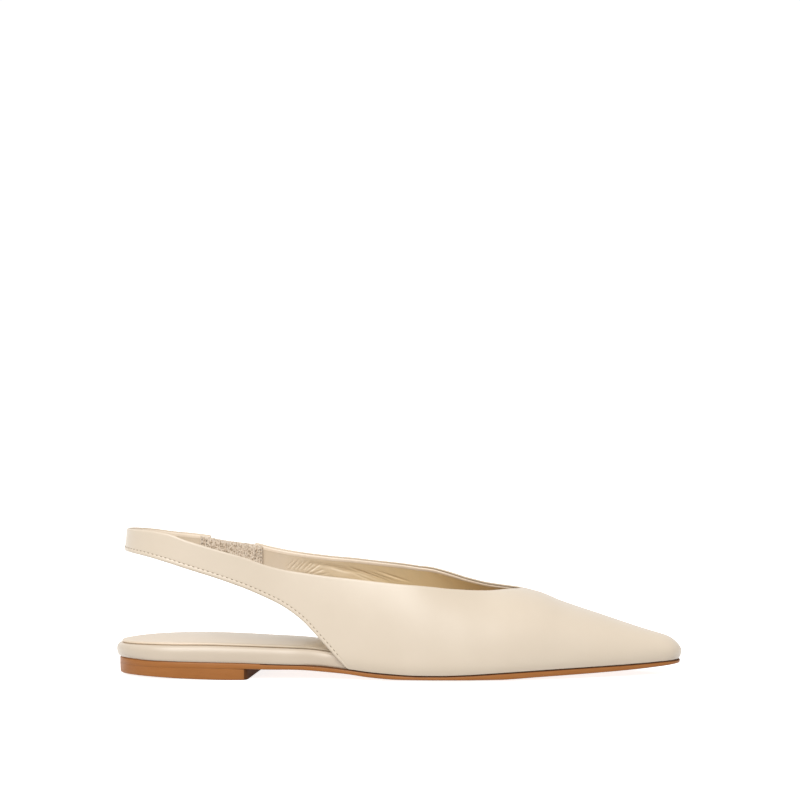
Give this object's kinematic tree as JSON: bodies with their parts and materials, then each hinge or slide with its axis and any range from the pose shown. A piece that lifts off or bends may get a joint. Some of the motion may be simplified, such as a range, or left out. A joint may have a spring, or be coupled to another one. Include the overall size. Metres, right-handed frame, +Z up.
{
  "type": "slingback flat shoe",
  "caption": "Low slingback flat for the right foot with a pointed toe, a curved V throat, a sling strap round the heel with an elastic gore, and a leather sole with a low heel.",
  "frame": {"origin": "centre of the bounding box, on the floor plane under the sole", "axes": "+X from heel to toe, +Y to the inner side of the right foot, +Z up from the floor"},
  "size_m": [0.262, 0.073, 0.0676],
  "materials": {
    "sole_leather": "smooth tan sole leather with a waxed edge",
    "heel_leather": "stacked tan leather with a waxed edge",
    "insole_leather": "smooth cream leather wrapped over the footbed board",
    "sock_leather": "smooth cream lining leather, a little padded",
    "upper_leather": "smooth cream leather with a soft sheen",
    "elastic_knit": "matt ribbed elastic knit"
  },
  "bodies": {
    "root": {"outsole": "sole_leather", "heel": "heel_leather", "insole": "insole_leather", "sock": "sock_leather", "upper": "upper_leather", "elastic_gore": "elastic_knit"}
  },
  "joints": []
}
